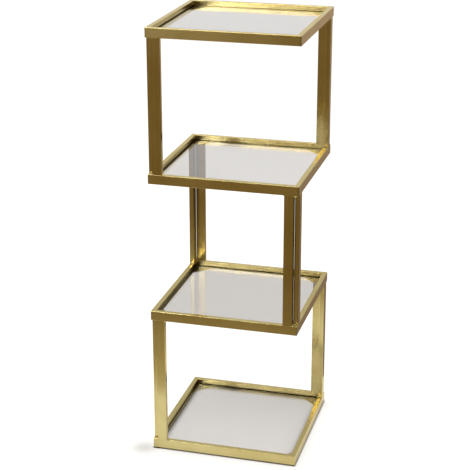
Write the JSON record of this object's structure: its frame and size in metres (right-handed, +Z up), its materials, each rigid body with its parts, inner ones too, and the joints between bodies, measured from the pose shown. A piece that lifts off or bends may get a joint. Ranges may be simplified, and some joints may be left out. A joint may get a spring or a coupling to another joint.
{
  "type": "etagere",
  "caption": "Narrow square etagere: open gold tube frames with drop-in glass shelves, carried on paired bars at opposite corners that swap from bay to bay.",
  "frame": {"origin": "on the floor under the middle of the stand", "axes": "+Z up, -Y to the front, +X to the right seen from the front"},
  "size_m": [0.34, 0.34, 0.999],
  "materials": {
    "gold_metal": "brass-plated steel tube, brushed to a satin sheen under clear lacquer",
    "clear_glass": "clear float glass with ground edges",
    "clear_bumper": "clear soft bumper",
    "pad": "matte dark pad"
  },
  "bodies": {
    "frame": {"base_bumpers": "clear_bumper", "base_gusset_back_left": "gold_metal", "base_gusset_back_right": "gold_metal", "base_gusset_front_left": "gold_metal", "base_gusset_front_right": "gold_metal", "base_post_back_right_facing_bar": "gold_metal", "base_post_back_right_side_bar": "gold_metal", "base_post_front_left_facing_bar": "gold_metal", "base_post_front_left_side_bar": "gold_metal", "base_rail_back": "gold_metal", "base_rail_front": "gold_metal", "base_rail_left": "gold_metal", "base_rail_right": "gold_metal", "floor_pad_back_left": "pad", "floor_pad_back_right": "pad", "floor_pad_front_left": "pad", "floor_pad_front_right": "pad", "lower_bumpers": "clear_bumper", "lower_gusset_back_left": "gold_metal", "lower_gusset_back_right": "gold_metal", "lower_gusset_front_left": "gold_metal", "lower_gusset_front_right": "gold_metal", "lower_post_back_left_facing_bar": "gold_metal", "lower_post_back_left_side_bar": "gold_metal", "lower_post_front_right_facing_bar": "gold_metal", "lower_post_front_right_side_bar": "gold_metal", "lower_rail_back": "gold_metal", "lower_rail_front": "gold_metal", "lower_rail_left": "gold_metal", "lower_rail_right": "gold_metal", "top_bumpers": "clear_bumper", "top_gusset_back_left": "gold_metal", "top_gusset_back_right": "gold_metal", "top_gusset_front_left": "gold_metal", "top_gusset_front_right": "gold_metal", "top_rail_back": "gold_metal", "top_rail_front": "gold_metal", "top_rail_left": "gold_metal", "top_rail_right": "gold_metal", "upper_bumpers": "clear_bumper", "upper_gusset_back_left": "gold_metal", "upper_gusset_back_right": "gold_metal", "upper_gusset_front_left": "gold_metal", "upper_gusset_front_right": "gold_metal", "upper_post_back_right_facing_bar": "gold_metal", "upper_post_back_right_side_bar": "gold_metal", "upper_post_front_left_facing_bar": "gold_metal", "upper_post_front_left_side_bar": "gold_metal", "upper_rail_back": "gold_metal", "upper_rail_front": "gold_metal", "upper_rail_left": "gold_metal", "upper_rail_right": "gold_metal"},
    "base_panel": {"base_glass": "clear_glass"},
    "lower_panel": {"lower_glass": "clear_glass"},
    "upper_panel": {"upper_glass": "clear_glass"},
    "top_panel": {"top_glass": "clear_glass"}
  },
  "joints": [
    {"name": "base_panel_lift", "type": "slide", "parent": "frame", "child": "base_panel", "axis": [0, 0, 1], "range_m": [0, 0.3]},
    {"name": "lower_panel_lift", "type": "slide", "parent": "frame", "child": "lower_panel", "axis": [0, 0, 1], "range_m": [0, 0.3]},
    {"name": "upper_panel_lift", "type": "slide", "parent": "frame", "child": "upper_panel", "axis": [0, 0, 1], "range_m": [0, 0.3]},
    {"name": "top_panel_lift", "type": "slide", "parent": "frame", "child": "top_panel", "axis": [0, 0, 1], "range_m": [0, 0.3]}
  ]
}
